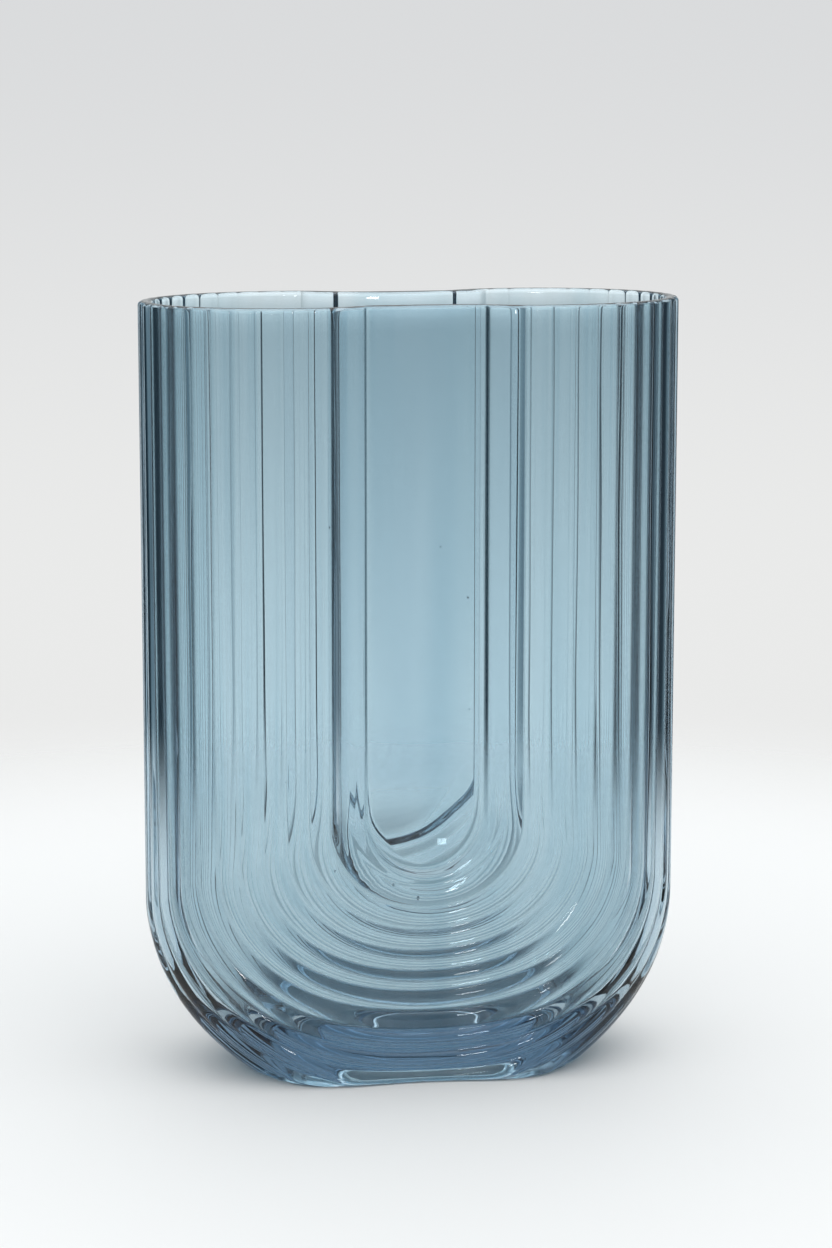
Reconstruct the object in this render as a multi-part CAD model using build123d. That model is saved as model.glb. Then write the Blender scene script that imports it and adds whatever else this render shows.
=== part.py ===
"""A ribbed glass vase: one hollow, flattened casting of clear blue glass.

Front view: a tall U. Nested U-shaped ribs run down both broad faces and round
the bottom, about a plain recessed panel in the middle. Plan view: two lobes
with a slight waist between them. The mouth is open and the floor is thick.

Frame: origin at the middle of the underside, +X along the broad face,
-Y out of the front face, +Z up. All sizes are in millimetres.
"""

from build123d import *
import math
import os

# ---- overall sizes
WIDTH = 160.0           # across the broad face
HEIGHT = 230.0          # base to rim
DEPTH = 74.0            # through the two lobes

# ---- plan shape
END_HALF = 44.0         # length of the half-ellipse at each narrow end
BASE_END_HALF = 32.0    # the same, at the base
BASE_TAPER = 2.0        # how far each face leans in at the base
WAIST_DIP = 3.0         # how far the waist falls back from the lobes, each face
WAIST_HALF = 36.0       # half the width of the waist's shallow hollow

# ---- outermost U: straight sides on a half-ellipse that the base cuts off
TURN_HEIGHT = 50.0      # where the sides begin to turn in
TURN_DROP = 15.5        # how far the half-ellipse would run on below the base

# ---- middle panel
PANEL_HALF = 17.0       # half its width
PANEL_BOTTOM = 65.0     # height of its rounded lower end
PANEL_RECESS = 3.5      # below the waist
PANEL_BEVEL = 5.0       # width of the sloping step round it

# ---- ribs
RIB_COUNT = 12          # from the panel to the middle of each narrow end
GROOVE_W = 1.6
GROOVE_D = 1.1

# ---- glass
WALL = 4.0
FLOOR = 16.0            # thickness of the solid base
FLOOR_R = 9.0           # rounding between the floor and the walls

BASE_SECTIONS = 7       # loft sections below the height where the sides turn in
OVER = 5.0              # how far a cutting tool runs past what it cuts


def turn_half_width(z):
    """Half-width of the whole vase at a height."""
    if z >= TURN_HEIGHT:
        return WIDTH / 2
    fall = (TURN_HEIGHT - z) / (TURN_HEIGHT + TURN_DROP)
    return WIDTH / 2 * math.sqrt(1 - fall**2)


def plan_section(z, inset):
    """Closed plan curve at a height: two half-ellipses joined by straight lines."""
    half = turn_half_width(z)
    lost = (WIDTH / 2 - half) / (WIDTH / 2 - turn_half_width(0))
    end = END_HALF - lost * (END_HALF - BASE_END_HALF)
    lean = BASE_TAPER * max(0.0, 1 - z / TURN_HEIGHT) ** 2
    deep = DEPTH / 2 - lean - inset
    straight = half - end
    end -= inset
    level = Plane.XY.offset(z)
    right = EllipticalCenterArc((straight, 0), end, deep, start_angle=-90, arc_size=180)
    left = EllipticalCenterArc((-straight, 0), end, deep, start_angle=90, arc_size=180)
    back = Line((straight, deep), (-straight, deep))
    front = Line((-straight, -deep), (straight, -deep))
    return level * Face(Wire([right, back, left, front]))


def upright_form(heights, insets, top):
    """Loft up to where the sides are straight, then a straight run to the top."""
    lower = loft([plan_section(z, inset) for z, inset in zip(heights, insets)])
    last = plan_section(heights[-1], insets[-1])
    return lower + extrude(last, top - heights[-1])


def waist_cutters(inset):
    """Two long shallow cylinders that hollow the middle of both faces."""
    radius = (WAIST_HALF**2 + WAIST_DIP**2) / (2 * WAIST_DIP)
    centre_y = DEPTH / 2 - WAIST_DIP + radius - inset
    tall = HEIGHT + 4 * OVER
    tool = Pos(0, 0, -OVER) * Cylinder(radius, tall, align=(Align.CENTER, Align.CENTER, Align.MIN))
    return [Pos(0, centre_y, 0) * tool, Pos(0, -centre_y, 0) * tool]


def outer_form(inset):
    """The outside of the vase without its ribs, set in by a little."""
    last = TURN_HEIGHT + OVER
    heights = [last * (number / BASE_SECTIONS) ** 1.2 for number in range(BASE_SECTIONS + 1)]
    insets = [inset] * len(heights)
    return upright_form(heights, insets, HEIGHT) - waist_cutters(inset)


def u_face(half, centre, low, top, y):
    """A closed U in the plane at depth y: straight sides on a half-ellipse."""
    arc = EllipticalCenterArc((0, centre), half, centre - low, start_angle=180, arc_size=180)
    sides = Polyline((half, centre), (half, top), (-half, top), (-half, centre))
    upright = Plane(origin=(0, y, 0), x_dir=(1, 0, 0), z_dir=(0, -1, 0))
    return upright * Face(Wire([arc, *sides.edges()]))


def rib_groove(along, half, width):
    """A thin U, cut right through front to back, a share of the way outwards."""
    first_half = PANEL_HALF + PANEL_BEVEL
    first_low = PANEL_BOTTOM - PANEL_BEVEL
    first_centre = first_low + first_half
    low = first_low - along * (first_low + TURN_DROP)
    centre = first_centre - along * (first_centre - TURN_HEIGHT)
    grow = width / 2
    outer = u_face(half + grow, centre, low - GROOVE_W / 2, HEIGHT + OVER, 0)
    inner = u_face(half - grow, centre, low + GROOVE_W / 2, HEIGHT + 2 * OVER, 0)
    return extrude(outer, DEPTH, both=True) - extrude(inner, DEPTH, both=True)


def end_groove(y, width):
    """A thin upright slice, for a groove down the narrow end."""
    return Pos(0, y, HEIGHT / 2) * Box(2 * WIDTH, width, 2 * HEIGHT)


def groove_tools():
    """Cutters evenly spaced along the plan curve, from the panel to each end."""
    lobe_x = WIDTH / 2 - END_HALF
    flat_run = lobe_x - PANEL_HALF - PANEL_BEVEL
    end_run = math.pi / 4 * (DEPTH / 2 + END_HALF)
    pitch = (flat_run + end_run) / RIB_COUNT
    tools = [end_groove(0, GROOVE_W)]
    for number in range(1, RIB_COUNT):
        along = number / RIB_COUNT
        run = number * pitch - flat_run
        turn = max(0.0, run / end_run * math.pi / 2)
        half = lobe_x + min(run, 0.0) + END_HALF * math.sin(turn)
        if half + GROOVE_D < WIDTH / 2:
            tools.append(rib_groove(along, half, GROOVE_W * math.cos(turn)))
        else:
            y = DEPTH / 2 * math.cos(turn)
            tools += [end_groove(y, GROOVE_W), end_groove(-y, GROOVE_W)]
    return tools


def panel_pockets(grow, panel_y):
    """Two bevelled pockets, one for each face, whose floors are at panel_y."""
    slope = PANEL_BEVEL / PANEL_RECESS
    outer_y = DEPTH / 2 + OVER
    flare = slope * (outer_y - panel_y)
    half = PANEL_HALF + grow
    low = PANEL_BOTTOM - grow
    top = HEIGHT + OVER
    pockets = []
    for side in (-1, 1):
        small = u_face(half, low + half, low, top, side * panel_y)
        large = u_face(half + flare, low + half, low - flare, top, side * outer_y)
        pockets.append(loft([small, large], ruled=True))
    return pockets


def hollow():
    """The inside of the vase, open at the top."""
    last = TURN_HEIGHT + OVER
    rounding = [FLOOR_R * (1 - math.sin(math.radians(a))) for a in (0, 30, 60, 90)]
    rises = [FLOOR_R * (1 - math.cos(math.radians(a))) for a in (0, 30, 60, 90)]
    heights = [FLOOR + rise for rise in rises]
    insets = [WALL + back for back in rounding]
    start = heights[-1]
    for number in range(1, BASE_SECTIONS - 2):
        heights.append(start + (last - start) * number / (BASE_SECTIONS - 3))
        insets.append(WALL)
    space = upright_form(heights, insets, HEIGHT + OVER)
    panel_back = DEPTH / 2 - WAIST_DIP - PANEL_RECESS - WALL
    return space - (waist_cutters(WALL) + panel_pockets(WALL, panel_back))


def glass_vase():
    ribs = outer_form(0) - groove_tools()
    body = ribs + outer_form(GROOVE_D)
    panel_face = DEPTH / 2 - WAIST_DIP - PANEL_RECESS
    return body - (panel_pockets(0, panel_face) + [hollow()])


if __name__ == "__main__":
    os.makedirs("parts", exist_ok=True)
    vase = glass_vase()
    export_step(vase, "parts/glass_vase.step")
    print("solids", len(vase.solids()), "volume cm3", round(vase.volume / 1000, 1))
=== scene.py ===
"""A tall U-shaped vase of clear blue glass, ribbed on both broad faces.

The vase is one closed glass skin: outside, rim, inside and underside. The
outside is laid out along the ribs, so each groove runs down the faces and
round the bottom as a nested U. Every length is in metres.
"""

import math

import bmesh
import bpy
import numpy as np
from bpy.props import FloatProperty, FloatVectorProperty, IntProperty, PointerProperty
from mathutils import Matrix, Vector, noise


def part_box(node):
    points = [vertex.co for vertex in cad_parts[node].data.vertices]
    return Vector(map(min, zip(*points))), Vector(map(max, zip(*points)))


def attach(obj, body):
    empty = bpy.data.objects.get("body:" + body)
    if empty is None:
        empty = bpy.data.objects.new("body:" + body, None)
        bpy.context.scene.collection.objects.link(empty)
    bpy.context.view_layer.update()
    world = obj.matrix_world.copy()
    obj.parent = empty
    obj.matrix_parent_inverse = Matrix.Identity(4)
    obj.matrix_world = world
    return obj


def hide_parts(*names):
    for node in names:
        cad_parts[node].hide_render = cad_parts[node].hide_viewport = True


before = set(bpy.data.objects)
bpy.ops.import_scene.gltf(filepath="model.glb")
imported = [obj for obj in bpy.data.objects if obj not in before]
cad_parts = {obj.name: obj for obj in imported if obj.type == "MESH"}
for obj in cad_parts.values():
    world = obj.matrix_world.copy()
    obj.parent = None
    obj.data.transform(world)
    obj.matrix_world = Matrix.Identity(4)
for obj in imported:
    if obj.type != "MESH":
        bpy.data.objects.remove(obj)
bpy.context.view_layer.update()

bl_info = {
    "name": "Ribbed Glass Vase",
    "version": (1, 0, 0),
    "blender": (4, 5, 0),
    "location": "View3D > Sidebar > Vase",
    "description": "Builds a U-shaped, ribbed vase of clear blue glass and a plain studio for it",
    "category": "Add Mesh",
}

VASE_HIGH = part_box("glass_vase")[1]
HEIGHT = VASE_HIGH.z
HALF_WIDE = 0.080
HALF_DEEP = VASE_HIGH.y


# ---------------------------------------------------------------- settings

def length(name, text, default, **more):
    """A setting in metres."""
    return FloatProperty(name=name, description=text, default=default, unit="LENGTH",
                         precision=4, **more)


class VaseShape(bpy.types.PropertyGroup):
    """Sizes of the glass"""
    end_half: length("End Half", "Length of the half-ellipse at each narrow end", 0.044)
    base_end_half: length("Base End Half", "The same half-ellipse at the base", 0.032)
    base_taper: length("Base Taper", "How far each face leans in at the base", 0.002)
    waist_dip: length("Waist Dip", "How far the waist falls back on each face", 0.003)
    turn_height: length("Turn Height", "Where the sides begin to turn in", 0.050)
    turn_drop: length("Turn Drop", "How far the outermost U would run below the base", 0.0155)
    panel_half: length("Panel Half", "Half the width of the plain panel", 0.017)
    panel_bottom: length("Panel Bottom", "Height of the panel's rounded end", 0.065)
    panel_recess: length("Panel Recess", "Depth of the panel below the waist", 0.0035)
    panel_bevel: length("Panel Bevel", "Width of the step round the panel", 0.005)
    rib_count: IntProperty(name="Ribs", description="Ribs from the panel to each narrow end",
                           default=12, min=2)
    rib_depth: length("Rib Depth", "Depth of the grooves on the straight sides", 0.0009)
    low_rib_depth: length("Low Rib Depth", "Depth of the grooves round the bottom", 0.0013)
    lens_rise: length("Lens Rise", "Extra glass behind the middle of the panel", 0.0022)
    lens_radius: length("Lens Radius", "Curve of the inside behind the panel", 0.062)
    wall: length("Wall", "Thickness of the sides", 0.004)
    floor: length("Floor", "Thickness of the solid base", 0.016)
    floor_round: length("Floor Rounding", "Rounding between the floor and the sides", 0.009)
    rim_round: length("Rim Rounding", "Height of the fire-polished rim's curve", 0.0014)
    rim_lean: length("Rim Lean", "How much lower the rim is at the left", 0.0004)
    base_round: length("Base Rounding", "Rounding round the underside", 0.0016)
    base_hollow: length("Base Hollow", "Rise of the underside inside its edge", 0.0034)
    inner_wave: length("Inner Waviness", "Unevenness of the inside", 0.00018)
    outer_wave: length("Outer Waviness", "Unevenness of the outside", 0.00005)


class VaseGlass(bpy.types.PropertyGroup):
    """Colour and finish of the glass"""
    tint: FloatVectorProperty(name="Tint", description="Colour that the glass lets through",
                              subtype="COLOR", size=3, default=(0.20, 0.43, 0.60))
    strength: FloatProperty(name="Tint Strength", description="Absorption for each metre",
                            default=33.0)
    film: FloatVectorProperty(name="Film", description="Colour of the tinted surface",
                              subtype="COLOR", size=3, default=(0.705, 0.815, 0.855))
    line_scale: FloatProperty(name="Line Scale", description="Fineness of the drawn lines",
                              default=130.0)
    line_depth: length("Line Depth", "Height of the drawn lines", 0.0003)
    ior: FloatProperty(name="IOR", description="Index of refraction", default=1.5)


class VaseStudio(bpy.types.PropertyGroup):
    """The stage, the lights and the camera"""
    floor_radius: length("Floor Radius", "Radius of the pale floor", 3.0)
    floor_colour: FloatVectorProperty(name="Floor Colour", description="Colour of the floor",
                                      subtype="COLOR", size=3, default=(0.80, 0.81, 0.81))
    camera_distance: length("Camera Distance", "Level distance to the vase", 0.97)
    camera_height: length("Camera Height", "Height above the floor", 0.300)
    camera_turn: FloatProperty(name="Camera Turn", description="Turn about the vase",
                               subtype="ANGLE", default=math.radians(8.5))
    camera_tilt: FloatProperty(name="Camera Tilt", description="Downward tilt",
                               subtype="ANGLE", default=math.radians(9.80))
    camera_lens: FloatProperty(name="Lens", description="Focal length in millimetres",
                               default=95.0)
    camera_shift: FloatProperty(name="Shift", description="Sideways shift of the lens",
                                default=0.0047)


# ---------------------------------------------------------------- the form

WAIST_REACH = 1.1               # where the waist ends, in distances to the lobes' middles


class Form:
    """The plan and the front view of the vase as functions of place."""

    def __init__(self, shape):
        self.shape = shape
        self.lobe_x = HALF_WIDE - shape.end_half
        self.flat_run = self.lobe_x - shape.panel_half - shape.panel_bevel
        self.end_run = math.pi / 4 * (HALF_DEEP + shape.end_half)
        self.pitch = (self.flat_run + self.end_run) / shape.rib_count

    def half_width(self, z):
        """Half-width of the vase at a height."""
        s = self.shape
        fall = np.clip((s.turn_height - z) / (s.turn_height + s.turn_drop), 0, 1)
        return HALF_WIDE * np.sqrt(1 - fall**2)

    def section(self, z):
        """Where the ends begin, how long they are, and the half-depth, at a height."""
        s = self.shape
        half = self.half_width(z)
        lost = (HALF_WIDE - half) / (HALF_WIDE - self.half_width(0.0))
        end = s.end_half - lost * (s.end_half - s.base_end_half)
        deep = HALF_DEEP - s.base_taper * np.clip(1 - z / s.turn_height, 0, 1) ** 2
        return half - end, end, deep

    def dip(self, x):
        """How far the waist falls back."""
        reach = np.clip(np.abs(x) / (WAIST_REACH * self.lobe_x), 0, 1)
        return self.shape.waist_dip * np.cos(reach * math.pi / 2) ** 2

    def face_depth(self, x, z, inset=0.0):
        """Half-depth of the plain form at a point of the front view."""
        straight, end, deep = self.section(z)
        across = np.clip((np.abs(x) - straight) / (end - inset), 0, 1)
        return (deep - inset) * np.sqrt(1 - across**2) - self.dip(x)

    def level(self, x, y, z):
        """Zero on the plain form, above zero outside it."""
        straight, end, deep = self.section(z)
        across = np.clip((np.abs(x) - straight) / end, 0, None)
        return ((np.abs(y) + self.dip(x)) / deep) ** 2 + across**2 - 1

    def normal(self, x, y, z):
        """Outward unit vectors of the plain form."""
        step = 2e-5
        slope = np.stack([
            self.level(x + step, y, z) - self.level(x - step, y, z),
            self.level(x, y + step, z) - self.level(x, y - step, z),
            self.level(x, y, z + step) - self.level(x, y, z - step)], axis=-1)
        return slope / np.linalg.norm(slope, axis=-1, keepdims=True)

    def rib_curve(self, along):
        """Half-width, centre height and low point of the U at a count of ribs outwards."""
        s = self.shape
        first_half = s.panel_half + s.panel_bevel
        first_low = s.panel_bottom - s.panel_bevel
        first_centre = first_low + first_half
        share = along / s.rib_count
        run = along * self.pitch - self.flat_run
        turn = np.clip(run / self.end_run, 0, 1) * math.pi / 2
        half = self.lobe_x + np.minimum(run, 0) + s.end_half * np.sin(turn)
        low = first_low - share * (first_low + s.turn_drop)
        centre = first_centre - share * (first_centre - s.turn_height)
        return half, centre, low

    def panel_distance(self, x, z):
        """Distance outwards from the panel's edge in the front view."""
        s = self.shape
        down = np.minimum(z - s.panel_bottom - s.panel_half, 0)
        return np.hypot(x, down) - s.panel_half


def ease(t):
    """A smooth step from 0 to 1."""
    t = np.clip(t, 0, 1)
    return t * t * (3 - 2 * t)


# ---------------------------------------------------------------- the outside

PANEL_ROWS = 6
PANEL_CENTRE_LIFT = 0.018       # how much higher the innermost row's curve begins
PANEL_END_LIFT = 0.008          # and ends
BEVEL_PLACES = (0.0, 0.07, 0.13, 0.19, 0.25, 0.31, 0.4, 0.55, 0.7, 0.85)
ROWS_PER_RIB = 8
STRAIGHT_STEPS = 24
TURN_STEPS = 60
TURN_CROWDING = 1.35            # above 1, the steps crowd together at the end of the turn
RIB_CURVE = 1.9                 # 1 for V-shaped grooves, above 1 for rounder crowns
DEEPER_BELOW, DEEPER_OVER = 0.125, 0.085    # where the grooves deepen, and over what drop
FOOT_BELOW, FOOT_OVER, FOOT_EXTRA = 0.03, 0.016, 0.7   # the same again, near the base
STEEP_SHARE, STEEP_SHARE_LOW = 0.60, 0.18   # steep part of the panel's step, more at its end
STEEP_RUN, STEEP_RUN_LOW = 0.26, 0.30       # and the share of the width that it takes
WELD = 2e-6                     # points nearer than this are one
SLIVER = 1e-6


def outside_rows(form):
    """For each row across a quarter of the outside: its U, and its place on the ribs."""
    s = form.shape
    rows = []
    for number in range(PANEL_ROWS):
        share = number / PANEL_ROWS
        centre = s.panel_bottom + s.panel_half + (1 - share) * PANEL_CENTRE_LIFT
        low = s.panel_bottom + (1 - share) * PANEL_END_LIFT
        rows.append((s.panel_half * share, centre, low, -1.0 - s.panel_half * (1 - share)))
    for out in BEVEL_PLACES:
        wide = s.panel_bevel * out
        rows.append((s.panel_half + wide, s.panel_bottom + s.panel_half,
                     s.panel_bottom - wide, out - 1.0))
    cut = s.rib_count * (s.panel_bottom - s.panel_bevel) / (
        s.panel_bottom - s.panel_bevel + s.turn_drop)
    counts = [number / ROWS_PER_RIB for number in range(s.rib_count * ROWS_PER_RIB + 1)]
    nearest = min(range(len(counts)), key=lambda number: abs(counts[number] - cut))
    counts[nearest] = cut
    for count in counts:
        rows.append((*(float(v) for v in form.rib_curve(count)), count))
    corner = PANEL_ROWS + len(BEVEL_PLACES) + nearest
    return np.array(rows), corner


def rib_profile(shape, count, z):
    """How far the surface lies below the ribs' crowns."""
    low = ease((DEEPER_BELOW - z) / DEEPER_OVER)
    low = low + FOOT_EXTRA * ease((FOOT_BELOW - z) / FOOT_OVER)
    depth = shape.rib_depth + (shape.low_rib_depth - shape.rib_depth) * low
    share = np.where(count > 0, count - np.floor(count), 0.0)
    return np.abs(2 * share - 1) ** RIB_CURVE * depth


def panel_step(out, low_side):
    """Share of the step's height at a share of its width: steep first, then gentle."""
    steep = STEEP_SHARE + STEEP_SHARE_LOW * low_side
    return steep * ease(out / (STEEP_RUN + STEEP_RUN_LOW * low_side)) + (1 - steep) * out


def outside_grid(form, rows, corner):
    """A quarter of the outside as points [row, step], front right."""
    s = form.shape
    half, centre, low, count = (rows[:, k][:, None] for k in range(4))
    top = HEIGHT - s.rim_round
    down = np.linspace(0, 1, STRAIGHT_STEPS + 1)[None, :-1]
    reach = np.clip(centre / (centre - low), 0, 1)
    last = np.where(low < 0, np.arcsin(reach), math.pi / 2)
    last[corner] = math.pi / 2
    along = 1 - (1 - np.linspace(0, 1, TURN_STEPS + 1)) ** TURN_CROWDING
    turn = along[None, :] * last
    x = np.concatenate([half + 0 * down, half * np.cos(turn)], axis=1)
    z = np.concatenate([top - (top - centre) * down, centre - (centre - low) * np.sin(turn)],
                       axis=1)
    y = form.face_depth(x, z)
    edge = len(rows) - 1
    y[edge] = 0.0
    points = np.stack([x, -y, z], axis=-1)
    push = form.normal(x, -y, z)
    below = rib_profile(s, count, z)
    ribbed = np.where(count >= 0, below, 0.0)
    points -= push * ribbed[..., None]
    # the rounding round the underside
    below_edge = np.clip((s.base_round - points[..., 2]) / s.base_round, 0, 1)
    inset = s.base_round * (1 - np.sqrt(1 - below_edge**2))
    level = np.linalg.norm(push[..., :2], axis=-1, keepdims=True)
    points[..., :2] -= push[..., :2] / level * inset[..., None]
    # the panel and the step round it
    panel_face = HALF_DEEP - s.waist_dip - s.panel_recess
    low_side = np.clip((centre - z) / (centre - low), 0, 1)
    rise = panel_step(np.clip(count + 1, 0, 1), low_side)
    outer = points[..., 1]
    points[..., 1] = np.where(count < 0, -panel_face + (outer + panel_face) * rise, outer)
    points[..., 1] += np.where(count < 0, below * rise, 0.0)
    # exact values where the quarters meet, and on the underside
    points[: corner + 1, -1, 0] = 0.0
    points[0, :, 0] = 0.0
    points[edge, :, 1] = 0.0
    points[corner:, -1, 2] = 0.0
    return points


def mirrored(points):
    """A quarter grid's copies in the other quarters, with the turn of their faces."""
    for flip_x in (1, -1):
        for flip_y in (1, -1):
            yield points * np.array([flip_x, flip_y, 1]), flip_x * flip_y < 0


class Skin:
    """Points and faces gathered from grids."""

    def __init__(self):
        self.points = []
        self.faces = []
        self.total = 0

    def add(self, grid, inward):
        """A quarter's grid, four times over."""
        for points, flip in mirrored(grid):
            self.add_quarter(points, flip != inward)

    def add_quarter(self, points, flip):
        """One grid's points and faces."""
        rows, steps = points.shape[:2]
        at = self.total + np.arange(rows * steps).reshape(rows, steps)
        quads = np.stack([at[:-1, :-1], at[1:, :-1], at[1:, 1:], at[:-1, 1:]], axis=-1)
        quads = quads.reshape(-1, 4)
        self.faces.append(quads[:, ::-1] if flip else quads)
        self.points.append(points.reshape(-1, 3))
        self.total += rows * steps

    def closed_mesh(self):
        """All the grids joined into one closed mesh, facing outwards."""
        made = bmesh.new()
        verts = [made.verts.new(point) for point in np.concatenate(self.points).tolist()]
        for quad in np.concatenate(self.faces).tolist():
            made.faces.new([verts[k] for k in quad])
        bmesh.ops.remove_doubles(made, verts=made.verts, dist=WELD)
        bmesh.ops.dissolve_degenerate(made, edges=made.edges, dist=SLIVER)
        bmesh.ops.recalc_face_normals(made, faces=made.faces)
        if any(len(edge.link_faces) != 2 for edge in made.edges):
            raise RuntimeError("the glass skin isn't closed")
        return made


# ---------------------------------------------------------------- the inside

SIDE_STEPS = 67
BEND_STEPS = 8
LENS_REACH = 0.0205             # the lens behind the panel stops growing here
BLEND_FROM, BLEND_OVER = 0.0025, 0.0105     # from the panel's edge, into the lobes
FLOOR_SHARES = (0.93, 0.8, 0.62, 0.42, 0.2, 0.0)
FLOOR_NARROWING = 0.35          # length of the floor's middle line, as a share


def inside_columns(form, rows):
    """For each row of the outside: its share of the flat middle, and its turn at the end."""
    half = rows[:, 0]
    count = rows[:, 3]
    run = count * form.pitch - form.flat_run
    flat = np.where(count < 0, half, np.minimum(form.lobe_x + run, form.lobe_x)) / form.lobe_x
    turn = np.where(count < 0, 0.0, np.clip(run / form.end_run, 0, 1)) * math.pi / 2
    return flat, turn


def inside_grid(form, rows):
    """A quarter of the inside as points [column, step] from the rim down to mid floor."""
    s = form.shape
    flat, turn = (values[:, None] for values in inside_columns(form, rows))
    top = HEIGHT - s.rim_round
    bend = np.radians(np.linspace(0, 90, BEND_STEPS + 1))[1:]
    floor_top = s.floor + s.floor_round
    z = np.concatenate([np.linspace(top, floor_top, SIDE_STEPS),
                        floor_top - s.floor_round * np.sin(bend)])[None, :]
    inset = np.concatenate([np.full(SIDE_STEPS, s.wall),
                            s.wall + s.floor_round * (1 - np.cos(bend))])[None, :]
    straight, end, deep = form.section(z)
    across = (end - inset) * np.sin(turn)
    x = straight * flat + across
    y = (deep - inset) * np.cos(turn) - form.dip(x)
    y = np.where(turn >= math.pi / 2 - 1e-9, 0.0, y)
    panel_back = HALF_DEEP - s.waist_dip - s.panel_recess - s.wall
    away = form.panel_distance(x, z + 0 * x)
    from_centre = np.minimum(away + s.panel_half, LENS_REACH)
    lens = panel_back - s.lens_rise + from_centre**2 / (2 * s.lens_radius)
    bulge = 1 - ease((away - BLEND_FROM) / BLEND_OVER)
    y = np.minimum(y, y - (y - lens) * bulge)
    points = np.stack([x, -y, z + 0 * x], axis=-1)
    floor_edge = points[:, -1:, :]
    for share in FLOOR_SHARES:
        along = FLOOR_NARROWING + (1 - FLOOR_NARROWING) * math.sqrt(share)
        ring = floor_edge * np.array([along, share, 1.0])
        points = np.concatenate([points, ring], axis=1)
    return points


# x, z and radius of each gas bubble
SEEDS = ((-0.0285, 0.167, 0.00028), (0.0045, 0.160, 0.00022), (0.0125, 0.145, 0.0003),
         (-0.0275, 0.066, 0.0003), (-0.0025, 0.0565, 0.00042), (-0.0100, 0.0605, 0.00034),
         (0.0130, 0.112, 0.00022), (0.0365, 0.118, 0.0002), (-0.0415, 0.093, 0.0002))
PANEL_SEED_DEPTH, RIB_SEED_DEPTH = 0.0018, 0.0026
SEED_STRETCH = (1, 1, 1.25, 1)


def add_seeds(made, form):
    """Tiny gas bubbles left inside the front wall."""
    s = form.shape
    for x, z, radius in SEEDS:
        on_panel = float(form.panel_distance(np.array(x), np.array(z))) < 0
        depth = float(form.face_depth(np.array(x), np.array(z)))
        depth -= s.panel_recess + PANEL_SEED_DEPTH if on_panel else RIB_SEED_DEPTH
        place = Matrix.Translation((x, -depth, z)) @ Matrix.Diagonal(SEED_STRETCH)
        ball = bmesh.ops.create_icosphere(made, subdivisions=2, radius=radius, matrix=place)
        faces = {face for vert in ball["verts"] for face in vert.link_faces}
        bmesh.ops.reverse_faces(made, faces=list(faces))


# ---------------------------------------------------------------- the whole skin

RIM_STEPS = 10
RIM_SQUARENESS = 0.8            # 1 for a half-ellipse, less for a squarer edge
FOOT_RING = 0.92                # inner edge of the flat ring under the base, as a share
UNDER_SHARES = (1.0, 0.96, FOOT_RING, 0.905, 0.89, 0.875, 0.86, 0.845, 0.82, 0.7, 0.5, 0.25, 0.0)
FOOT_WALL, FOOT_DOME = (0.8, 0.075), (0.2, 0.9)     # share of the hollow, and run inwards
WAVE_SIZE = (0.014, 0.014, 0.060)
INNER_SEED, OUTER_SEED = 3.1, 9.7
CALM_EDGE = 0.004               # the unevenness fades out this near to the rim and the base
INNER_GAP, UNDERSIDE_TOP = 0.002, 0.01      # what counts as the inside
LEAN_FROM, LEAN_OVER = 0.1, 0.13            # the rim's lean grows over these heights


def rim_grid(outer, inner, height):
    """The rim, from the outer edge over to the inner one."""
    arc = np.radians(np.linspace(0, 180, RIM_STEPS + 1))
    across = np.sign(np.cos(arc)) * np.abs(np.cos(arc)) ** RIM_SQUARENESS
    middle = (outer + inner) / 2
    rim = middle[:, None] + (outer - middle)[:, None] * across[None, :, None]
    rim[..., 2] += height * np.sin(arc)[None, :] ** RIM_SQUARENESS
    return rim


def underside_grid(edge, height):
    """The underside: a flat ring, a short steep wall and a shallow dome."""
    shares = np.array(UNDER_SHARES)
    under = edge[:, None, :] * shares[None, :, None]
    inward = FOOT_RING - shares
    hollow = sum(share * ease(inward / run) for share, run in (FOOT_WALL, FOOT_DOME))
    under[..., 2] += height * hollow[None, :]
    return under


def glass_skin(form):
    """The vase as one closed mesh, before it is made uneven."""
    rows, corner = outside_rows(form)
    outside = outside_grid(form, rows, corner)
    inside = inside_grid(form, rows)
    rim = rim_grid(outside[:, 0], inside[:, 0], form.shape.rim_round)
    under = underside_grid(outside[corner:, -1], form.shape.base_hollow)
    skin = Skin()
    skin.add(outside, False)
    skin.add(inside, True)
    skin.add(rim, True)
    skin.add(under, False)
    return skin.closed_mesh()


def make_uneven(made, form):
    """Waves in both surfaces, and a rim that is a little lower on the left."""
    shape = form.shape
    for vert in made.verts:
        co = vert.co
        inner = abs(co.y) < form.face_depth(co.x, co.z) - INNER_GAP and co.z > UNDERSIDE_TOP
        amount = shape.inner_wave if inner else shape.outer_wave
        fade = min(1.0, co.z / CALM_EDGE, (HEIGHT - co.z) / CALM_EDGE)
        seed = INNER_SEED if inner else OUTER_SEED
        wave = noise.noise(Vector((co.x / WAVE_SIZE[0] + seed, co.y / WAVE_SIZE[1],
                                   co.z / WAVE_SIZE[2])))
        vert.co.y += amount * wave * fade * (1 if co.y > 0 else -1)
        left = 0.5 - co.x / (2 * HALF_WIDE)
        vert.co.z -= shape.rim_lean * float(ease((co.z - LEAN_FROM) / LEAN_OVER) * left)


# ---------------------------------------------------------------- the material

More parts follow.
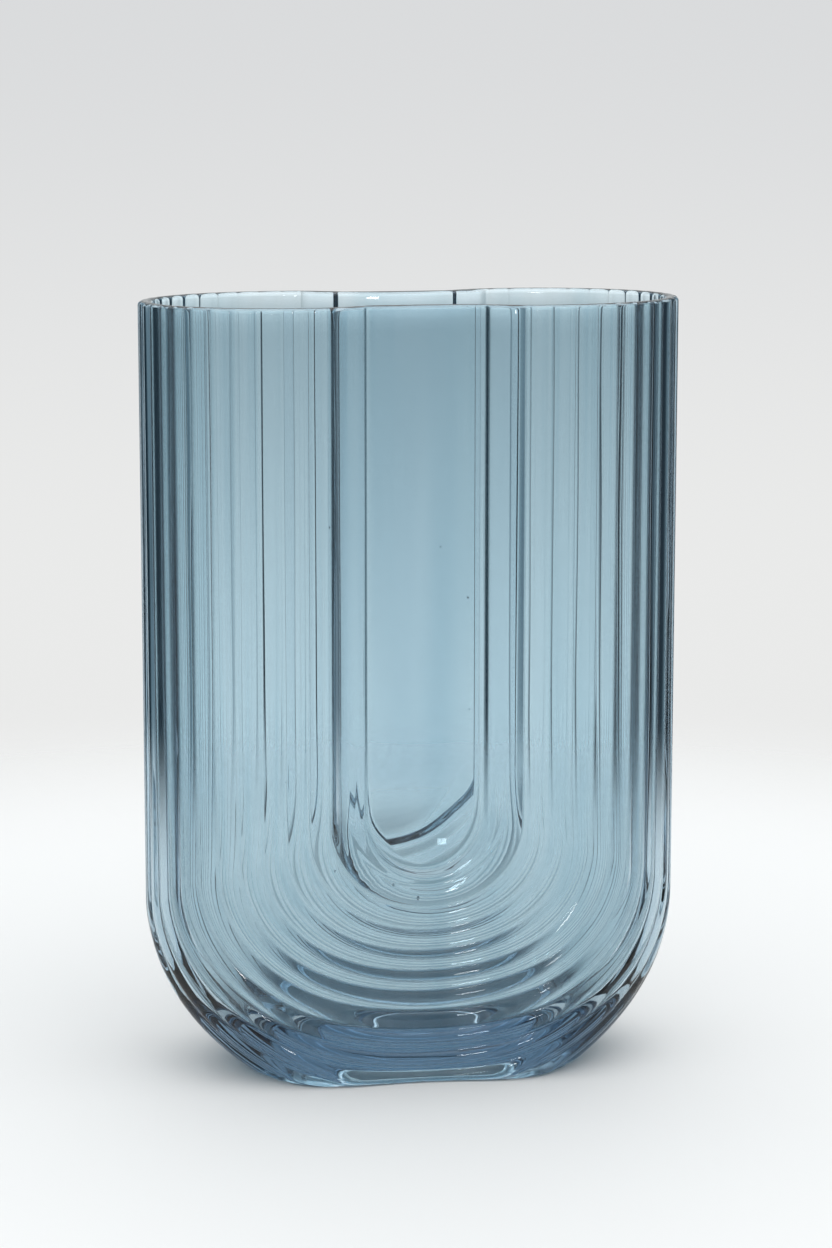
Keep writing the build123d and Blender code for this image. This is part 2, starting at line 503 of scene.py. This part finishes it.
LINE_STRETCH, LINE_DETAIL = (1.0, 1.0, 0.02), 2.0
LINE_HEIGHTS = (0.09, 0.17)     # the drawn lines come in between these heights
SMEAR_STRETCH, SMEAR_SCALE, SMEAR_DETAIL = (1.0, 1.0, 0.4), 38.0, 4.0
SMEAR_STEP, SMEAR_ROUGHNESS = (0.5, 0.8), 0.035
TONE_STRETCH, TONE_SCALE, TONE_DETAIL = (1.0, 1.0, 0.06), 60.0, 2.0
TONE_STEP = (0.42, 0.75)
DEEP_FILM = 1.5                 # power that deepens the film's colour in streaks


def maths(tree, operation, *values):
    """A math node on values or sockets; its result."""
    node = tree.nodes.new("ShaderNodeMath")
    node.operation = operation
    for socket, value in zip(node.inputs, values):
        if isinstance(value, (int, float)):
            socket.default_value = value
        else:
            tree.links.new(value, socket)
    return node.outputs[0]


def ramp(tree, value, step, ends=(0.0, 1.0), curve="SMOOTHSTEP"):
    """A smooth change from one end to the other while the value crosses the step."""
    node = tree.nodes.new("ShaderNodeMapRange")
    node.interpolation_type = curve
    tree.links.new(value, node.inputs["Value"])
    for name, number in zip(("From Min", "From Max", "To Min", "To Max"), (*step, *ends)):
        node.inputs[name].default_value = number
    return node.outputs["Result"]


def blend(tree, factor, first, second):
    """A mix of two colours; its result."""
    node = tree.nodes.new("ShaderNodeMix")
    node.data_type = "RGBA"
    tree.links.new(factor, node.inputs["Factor"])
    for socket, value in ((node.inputs[6], first), (node.inputs[7], second)):
        if isinstance(value, tuple):
            socket.default_value = (*value, 1)
        else:
            tree.links.new(value, socket)
    return node.outputs[2]


def stretched_noise(tree, place, stretch, scale, detail):
    """Noise drawn out along the axes by the stretch."""
    sized = tree.nodes.new("ShaderNodeVectorMath")
    sized.operation = "MULTIPLY"
    tree.links.new(place, sized.inputs[0])
    sized.inputs[1].default_value = stretch
    spots = tree.nodes.new("ShaderNodeTexNoise")
    tree.links.new(sized.outputs["Vector"], spots.inputs["Vector"])
    spots.inputs["Scale"].default_value = scale
    spots.inputs["Detail"].default_value = detail
    return spots.outputs["Fac"]


def glass_material(glass):
    """Clear blue glass, tinted in its skin and a little in its thickness."""
    made = bpy.data.materials.new("clear_blue_glass")
    made.use_nodes = True
    tree = made.node_tree
    tree.nodes.clear()
    output = tree.nodes.new("ShaderNodeOutputMaterial")
    shader = tree.nodes.new("ShaderNodeBsdfPrincipled")
    shader.inputs["Metallic"].default_value = 0.0
    shader.inputs["Transmission Weight"].default_value = 1.0
    shader.inputs["IOR"].default_value = glass.ior
    tree.links.new(shader.outputs["BSDF"], output.inputs["Surface"])
    place = tree.nodes.new("ShaderNodeTexCoord").outputs["Object"]
    # lines drawn down the straight sides by the mould
    lines = stretched_noise(tree, place, LINE_STRETCH, glass.line_scale, LINE_DETAIL)
    split = tree.nodes.new("ShaderNodeSeparateXYZ")
    tree.links.new(place, split.inputs[0])
    upper = ramp(tree, split.outputs["Z"], LINE_HEIGHTS)
    bump = tree.nodes.new("ShaderNodeBump")
    tree.links.new(maths(tree, "MULTIPLY", lines, upper), bump.inputs["Height"])
    bump.inputs["Strength"].default_value = 1.0
    bump.inputs["Distance"].default_value = glass.line_depth
    tree.links.new(bump.outputs["Normal"], shader.inputs["Normal"])
    # handling film: clear for the most part, a little softer in patches
    smear = stretched_noise(tree, place, SMEAR_STRETCH, SMEAR_SCALE, SMEAR_DETAIL)
    softness = ramp(tree, smear, SMEAR_STEP, (0.0, SMEAR_ROUGHNESS))
    tree.links.new(softness, shader.inputs["Roughness"])
    # the tinted surface, deeper in long streaks
    tone = stretched_noise(tree, place, TONE_STRETCH, TONE_SCALE, TONE_DETAIL)
    film = tuple(glass.film)
    deep = tuple(value**DEEP_FILM for value in film)
    tree.links.new(blend(tree, ramp(tree, tone, TONE_STEP), film, deep),
                   shader.inputs["Base Color"])
    # the tint in the thickness
    volume = tree.nodes.new("ShaderNodeVolumeAbsorption")
    volume.inputs["Color"].default_value = (*glass.tint, 1)
    volume.inputs["Density"].default_value = glass.strength
    tree.links.new(volume.outputs["Volume"], output.inputs["Volume"])
    return made


# ---------------------------------------------------------------- the studio

GROUND_SEGMENTS = 96
GROUND_DROP = 0.0002            # keeps the ground clear of the vase's foot
GROUND_FADE = (0.25, 0.6)       # the ground melts into the backdrop between these distances
GROUND_ROUGHNESS, GROUND_SHINE = 0.6, 0.2
CLIP_START = 0.02

# name, place, target, size and power of each soft light
LIGHTS = (("soft_overhead", (0.25, -0.35, 1.3), (0, 0, 0.1), (0.9, 0.9), 2.0),
          ("small_window", (-0.17, -1.45, 0.42), (0, 0, 0.07), (0.18, 0.12), 1.1))

# Colours of the room that the glass sees. Each step is a range of the height of
# the direction of sight, or of a cosine of its bearing.
LOW_GLOW, WALL_GREY, WALL_STEP = (1.20, 1.18, 1.17), (0.58, 0.61, 0.62), (-0.22, -0.02)
SIDE_BLUE, SIDE_STEP = (0.20, 0.27, 0.31), (0.83, 0.985)
GAP_DARK, GAP_STEP = (0.006, 0.02, 0.032), (-0.9, -0.3)
NEAR_GREY, NEAR_STEP = (0.42, 0.43, 0.44), (-0.9, 0.2)
OVERHEAD_WHITE, OVERHEAD_STEP = (1.62, 1.62, 1.62), (0.45, 0.75)

# the backdrop that the camera sees, from its foot to its top, with painted shade: lighter at its
# foot, darker towards its top
BACKDROP_LIT_FOOT, BACKDROP_SHADED_TOP = (0.82, 0.825, 0.82), (0.70, 0.71, 0.72)
BACKDROP_SHADE_STEP = (-0.16, 0.03)


def lay_floor(context, studio):
    """A pale disc under the vase that fades out into the backdrop."""
    made = bmesh.new()
    bmesh.ops.create_circle(made, cap_ends=True, segments=GROUND_SEGMENTS,
                            radius=studio.floor_radius)
    mesh = bpy.data.meshes.new("pale_floor")
    made.to_mesh(mesh)
    made.free()
    floor = bpy.data.objects.new("pale_floor", mesh)
    floor.location.z = -GROUND_DROP
    context.scene.collection.objects.link(floor)
    material = bpy.data.materials.new("pale_floor")
    material.use_nodes = True
    tree = material.node_tree
    shader = tree.nodes["Principled BSDF"]
    shader.inputs["Base Color"].default_value = (*studio.floor_colour, 1)
    shader.inputs["Roughness"].default_value = GROUND_ROUGHNESS
    shader.inputs["Specular IOR Level"].default_value = GROUND_SHINE
    place = tree.nodes.new("ShaderNodeTexCoord")
    away = tree.nodes.new("ShaderNodeVectorMath")
    away.operation = "LENGTH"
    tree.links.new(place.outputs["Object"], away.inputs[0])
    fade = ramp(tree, away.outputs["Value"], GROUND_FADE, (1.0, 0.0), "SMOOTHERSTEP")
    tree.links.new(fade, shader.inputs["Alpha"])
    mesh.materials.append(material)


def light_world(context, turn):
    """A pale surround with a broad light above and dim gaps between its sides.

    What the camera sees straight past the vase is a backdrop with painted shade:
    lighter at its foot, darker towards its top. The glass sees the lights of the room.
    """
    world = bpy.data.worlds.new("studio_surround")
    context.scene.world = world
    world.use_nodes = True
    tree = world.node_tree
    tree.nodes.clear()

    place = tree.nodes.new("ShaderNodeTexCoord")
    split = tree.nodes.new("ShaderNodeSeparateXYZ")
    tree.links.new(place.outputs["Generated"], split.inputs[0])
    x, y, z = split.outputs
    level = maths(tree, "SQRT", maths(tree, "ADD", maths(tree, "MULTIPLY", x, x),
                                      maths(tree, "MULTIPLY", y, y)))
    # cosines of the bearing: from straight back, from the camera's aim, and four times over
    back = maths(tree, "DIVIDE", y, level)
    aimed = maths(tree, "MULTIPLY_ADD", x, math.sin(turn),
                  maths(tree, "MULTIPLY", y, math.cos(turn)))
    facing = maths(tree, "DIVIDE", aimed, level)
    twice = maths(tree, "MULTIPLY_ADD", maths(tree, "MULTIPLY", back, back), 2.0, -1.0)
    fourfold = maths(tree, "MULTIPLY_ADD", maths(tree, "MULTIPLY", twice, twice), 2.0, -1.0)

    room = blend(tree, ramp(tree, z, WALL_STEP), LOW_GLOW, WALL_GREY)
    room = blend(tree, ramp(tree, facing, SIDE_STEP), SIDE_BLUE, room)
    room = blend(tree, ramp(tree, fourfold, GAP_STEP), GAP_DARK, room)
    room = blend(tree, ramp(tree, back, NEAR_STEP), NEAR_GREY, room)
    room = blend(tree, ramp(tree, z, OVERHEAD_STEP), room, OVERHEAD_WHITE)
    # painted shade on the backdrop that the camera sees: lighter at its foot, darker towards its
    # top
    backdrop = blend(tree, ramp(tree, z, BACKDROP_SHADE_STEP), BACKDROP_LIT_FOOT, BACKDROP_SHADED_TOP)
    sight = tree.nodes.new("ShaderNodeLightPath")
    seen = blend(tree, sight.outputs["Is Camera Ray"], room, backdrop)
    light = tree.nodes.new("ShaderNodeBackground")
    tree.links.new(seen, light.inputs["Color"])
    output = tree.nodes.new("ShaderNodeOutputWorld")
    tree.links.new(light.outputs["Background"], output.inputs["Surface"])


def hang_light(context, name, place, target, size, power):
    """A rectangular light that shines from its place towards the target."""
    light = bpy.data.lights.new(name, "AREA")
    light.shape = "RECTANGLE"
    light.size, light.size_y = size
    light.energy = power
    holder = bpy.data.objects.new(name, light)
    holder.location = place
    aim = Vector(target) - Vector(place)
    holder.rotation_euler = aim.to_track_quat("-Z", "Y").to_euler()
    context.scene.collection.objects.link(holder)


def place_camera(context, studio):
    """A long lens in front of the vase, a little to the left and looking down."""
    camera = bpy.data.cameras.new("camera")
    camera.lens = studio.camera_lens
    camera.shift_x = studio.camera_shift
    camera.clip_start = CLIP_START
    holder = bpy.data.objects.new("camera", camera)
    turn, tilt, away = studio.camera_turn, studio.camera_tilt, studio.camera_distance
    holder.location = (-away * math.sin(turn), -away * math.cos(turn), studio.camera_height)
    holder.rotation_euler = (math.pi / 2 - tilt, 0, -turn)
    context.scene.collection.objects.link(holder)
    context.scene.camera = holder


# ---------------------------------------------------------------- operators

class VASE_OT_glass(bpy.types.Operator):
    """Build the glass vase as one closed skin"""
    bl_idname = "vase.glass"
    bl_label = "Glass Vase"

    def execute(self, context):
        form = Form(context.scene.vase_shape)
        made = glass_skin(form)
        make_uneven(made, form)
        add_seeds(made, form)
        mesh = bpy.data.meshes.new("glass_body")
        made.to_mesh(mesh)
        made.free()
        mesh.polygons.foreach_set("use_smooth", [True] * len(mesh.polygons))
        body = bpy.data.objects.new("glass_body", mesh)
        context.scene.collection.objects.link(body)
        mesh.materials.append(glass_material(context.scene.vase_glass))
        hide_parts("glass_vase")
        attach(body, "root")
        return {"FINISHED"}


class VASE_OT_studio(bpy.types.Operator):
    """Lay the pale floor, and set the soft lights and the camera"""
    bl_idname = "vase.studio"
    bl_label = "Studio"

    def execute(self, context):
        studio = context.scene.vase_studio
        lay_floor(context, studio)
        light_world(context, studio.camera_turn)
        for light in LIGHTS:
            hang_light(context, *light)
        place_camera(context, studio)
        context.scene.view_settings.view_transform = "Standard"
        return {"FINISHED"}


class VASE_PT_panel(bpy.types.Panel):
    """Buttons for the vase and its studio"""
    bl_label = "Ribbed Glass Vase"
    bl_idname = "VASE_PT_panel"
    bl_space_type = "VIEW_3D"
    bl_region_type = "UI"
    bl_category = "Vase"

    def draw(self, context):
        for maker in MAKERS:
            self.layout.operator(maker.bl_idname)


SETTINGS = {"vase_shape": VaseShape, "vase_glass": VaseGlass, "vase_studio": VaseStudio}
MAKERS = (VASE_OT_glass, VASE_OT_studio)
CLASSES = (*SETTINGS.values(), *MAKERS, VASE_PT_panel)


def register():
    """Make the settings, the operators and the panel known to Blender."""
    for cls in CLASSES:
        bpy.utils.register_class(cls)
    for name, group in SETTINGS.items():
        setattr(bpy.types.Scene, name, PointerProperty(type=group))


def unregister():
    """Take them away again."""
    for name in SETTINGS:
        delattr(bpy.types.Scene, name)
    for cls in reversed(CLASSES):
        bpy.utils.unregister_class(cls)


def main():
    """Build the vase and its studio."""
    register()
    bpy.ops.vase.glass()
    bpy.ops.vase.studio()


if __name__ == "__main__":
    main()
